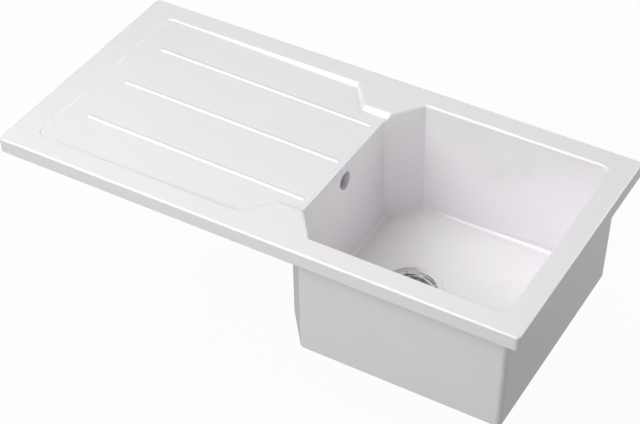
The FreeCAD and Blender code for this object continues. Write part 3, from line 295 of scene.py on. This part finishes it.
def steel(name, colour, rough, mark_width, strength):
    """Stainless steel with circular marks about the waste's axis."""
    made, tree, shader, place = material(name, Metallic=1.0)
    about = centred(tree, place, WASTE_X)
    marks = place_effect(tree, TURNING, (-900, -200), Mark_Width=mark_width, Strength=strength)
    wire(tree, about, marks.inputs["Coordinates"])
    stain = place_effect(tree, MOTTLE, (-900, 200), Patch_Size=0.012, Low=0.0, High=1.0)
    wire(tree, about, stain.inputs["Coordinates"])
    dull = tuple(0.9 * channel for channel in colour)
    wire(tree, blend_colours(tree, stain.outputs[0], dull, colour), shader.inputs["Base Color"])
    rub = add(tree, "MapRange", (-500, -100))
    rub.inputs["To Min"].default_value = rough * 0.75
    rub.inputs["To Max"].default_value = rough * 1.3
    wire(tree, marks.outputs["Marks"], rub.inputs["Value"])
    wire(tree, rub.outputs[0], shader.inputs["Roughness"])
    wire(tree, marks.outputs["Normal"], shader.inputs["Normal"])
    return made


def moulded(name, colour, pale, rough, grain_size, strength, **settings):
    """Moulded plastic or rubber: faint clouding of the colour and a fine grained skin."""
    made, tree, shader, place = material(name, **settings)
    cloud = place_effect(tree, MOTTLE, (-900, 200), Patch_Size=0.02, Low=0.0, High=1.0)
    wire(tree, place, cloud.inputs["Coordinates"])
    wire(tree, blend_colours(tree, cloud.outputs[0], colour, pale), shader.inputs["Base Color"])
    rub = place_effect(tree, MOTTLE, (-900, 0), Patch_Size=0.007, Low=rough * 0.85, High=rough * 1.15)
    wire(tree, place, rub.inputs["Coordinates"])
    wire(tree, rub.outputs[0], shader.inputs["Roughness"])
    skin = place_effect(tree, GRAIN, (-900, -200), Grain_Size=grain_size, Strength=strength)
    wire(tree, place, skin.inputs["Coordinates"])
    wire(tree, skin.outputs["Normal"], shader.inputs["Normal"])
    return made


FINISHES = {
    "white_glaze": white_glaze(),
    "pressed_steel": steel("pressed_steel", (0.74, 0.735, 0.74), 0.16, 0.00035, 0.1),
    "turned_steel": steel("turned_steel", (0.62, 0.62, 0.63), 0.30, 0.00025, 0.3),
    "polished_knob": steel("polished_knob", (0.78, 0.78, 0.79), 0.08, 0.0006, 0.05),
    "brass_bush": steel("brass_bush", (0.72, 0.50, 0.22), 0.3, 0.00025, 0.3),
    "sealing_foam": moulded("sealing_foam", (0.10, 0.10, 0.105), (0.16, 0.16, 0.165), 0.85, 0.0009, 0.8),
    "black_rubber": moulded("black_rubber", (0.022, 0.022, 0.023), (0.045, 0.045, 0.045), 0.55, 0.0005, 0.25),
    "waste_plastic": moulded("waste_plastic", (0.76, 0.76, 0.75), (0.80, 0.80, 0.79), 0.42, 0.0007, 0.15),
    "pipe_plastic": moulded("pipe_plastic", (0.72, 0.72, 0.71), (0.76, 0.76, 0.75), 0.25, 0.0012, 0.08),
    "nut_plastic": moulded("nut_plastic", (0.27, 0.28, 0.29), (0.33, 0.34, 0.35), 0.45, 0.0006, 0.2),
    "guide_plastic": moulded("guide_plastic", (0.06, 0.06, 0.06), (0.10, 0.10, 0.10), 0.4, 0.0006, 0.2),
}


# ------------------------------------------------------------------------------------------------ pieces
# every node of the model has the true shape, rounded edges included, so each stays and takes its slot's finish
for entry in frame["record"]["subparts"]:
    surface = nodes[entry["node"]].data
    surface.materials.clear()
    surface.materials.append(FINISHES[entry["material_slot"]])


# ------------------------------------------------------------------------------------------------ floor and light
def plain_floor():
    """A pale floor under the hanging sink; the camera sees it nearly white, with the sink's shadow kept.

    It sends less light back to the sink, and shows in the glaze at part of its brightness.
    """
    half, level = FLOOR_HALF, FLOOR_LEVEL
    corners = [(-half, -half, level), (half, -half, level), (half, half, level), (-half, half, level)]
    mesh = bpy.data.meshes.new("floor")
    mesh.from_pydata(corners, [], [(0, 1, 2, 3)])
    floor = bpy.data.objects.new("floor", mesh)
    scene.collection.objects.link(floor)
    made, tree, shader, _ = material("pale_floor", Roughness=0.9)
    path = add(tree, "LightPath", (-500, 300))
    seen = path.outputs["Is Camera Ray"]
    colour = blend_colours(tree, seen, FLOOR_TO_THE_SINK, FLOOR_TO_THE_CAMERA)
    wire(tree, colour, shader.inputs["Base Color"])
    glow = add(tree, "Emission", (0, -200), Strength=1.0)
    mirrored = add(tree, "Math", (-100, 150), operation="MULTIPLY")
    mirrored.inputs[1].default_value = FLOOR_WHITE_IN_THE_GLAZE
    wire(tree, path.outputs["Is Glossy Ray"], mirrored.inputs[0])
    share = add(tree, "Math", (60, 250), operation="MULTIPLY_ADD")
    share.inputs[1].default_value = FLOOR_WHITE_TO_THE_CAMERA
    wire(tree, seen, share.inputs[0])
    wire(tree, mirrored.outputs[0], share.inputs[2])
    mix = add(tree, "MixShader", (250, 0))
    wire(tree, share.outputs[0], mix.inputs[0])
    wire(tree, shader.outputs[0], mix.inputs[1])
    wire(tree, glow.outputs[0], mix.inputs[2])
    # seen from below it is clear, so that it never hides the sink's underside
    side = add(tree, "NewGeometry", (250, 300))
    clear = add(tree, "BsdfTransparent", (250, -250))
    either = add(tree, "MixShader", (450, 0))
    wire(tree, side.outputs["Backfacing"], either.inputs[0])
    wire(tree, mix.outputs[0], either.inputs[1])
    wire(tree, clear.outputs[0], either.inputs[2])
    wire(tree, either.outputs[0], tree.nodes["Material Output"].inputs["Surface"])
    mesh.materials.append(made)


def surroundings(strength):
    """An even grey-white world, which the camera sees as white."""
    world = bpy.data.worlds.new("studio")
    scene.world = world
    world.use_nodes = True
    tree = world.node_tree
    around = tree.nodes["Background"]
    around.inputs["Color"].default_value = (1.0, 1.0, 1.0, 1.0)
    around.inputs["Strength"].default_value = strength
    seen = add(tree, "Background", (0, -200), Strength=1.0)
    seen.inputs["Color"].default_value = (1.0, 1.0, 1.0, 1.0)
    path = add(tree, "LightPath", (-300, 300))
    mix = add(tree, "MixShader", (250, 0))
    wire(tree, path.outputs["Is Camera Ray"], mix.inputs[0])
    wire(tree, around.outputs[0], mix.inputs[1])
    wire(tree, seen.outputs[0], mix.inputs[2])
    wire(tree, mix.outputs[0], tree.nodes["World Output"].inputs["Surface"])


def softbox(name, heading, rise, size, power):
    """A square area light turned to the sink, at a heading and a rise in degrees."""
    heading, rise = math.radians(heading), math.radians(rise)
    away = Vector((math.cos(rise) * math.cos(heading), math.cos(rise) * math.sin(heading), math.sin(rise)))
    lamp = bpy.data.lights.new(name, "AREA")
    lamp.energy = power
    lamp.size = size
    carrier = bpy.data.objects.new(name, lamp)
    scene.collection.objects.link(carrier)
    carrier.location = Vector(LAMP_CENTRE) + LAMP_DISTANCE * away
    carrier.rotation_euler = (-away).to_track_quat("-Z", "Y").to_euler()


plain_floor()
surroundings(0.08)
softbox("overhead", 180.0, 68.0, 2.2, 35.0)
softbox("front_left", -122.0, 36.0, 1.7, 27.0)
softbox("front_low", -80.0, 25.0, 1.3, 15.0)
softbox("front_high", -95.0, 48.0, 1.3, 9.0)
softbox("back_low", 70.0, 22.0, 2.0, 8.0)
softbox("right_low", 38.0, 25.0, 1.6, 19.0)

# ------------------------------------------------------------------------------------------------ camera
lens = bpy.data.cameras.new("photo_view")
lens.lens = 101.88
lens.sensor_width = 36.0
lens.clip_start = 0.05
camera = bpy.data.objects.new("photo_view", lens)
scene.collection.objects.link(camera)
ahead = Vector((-0.37934, 0.65933, -0.64915)).normalized()
right = Vector((0.86648, 0.49921, 0.0007)).normalized()
up = right.cross(ahead).normalized()
turn = Matrix((right, up, -ahead)).transposed().to_4x4()
camera.matrix_world = Matrix.Translation((1.22463, -2.12257, 1.98049)) @ turn
scene.camera = camera
scene.view_settings.view_transform = "Standard"
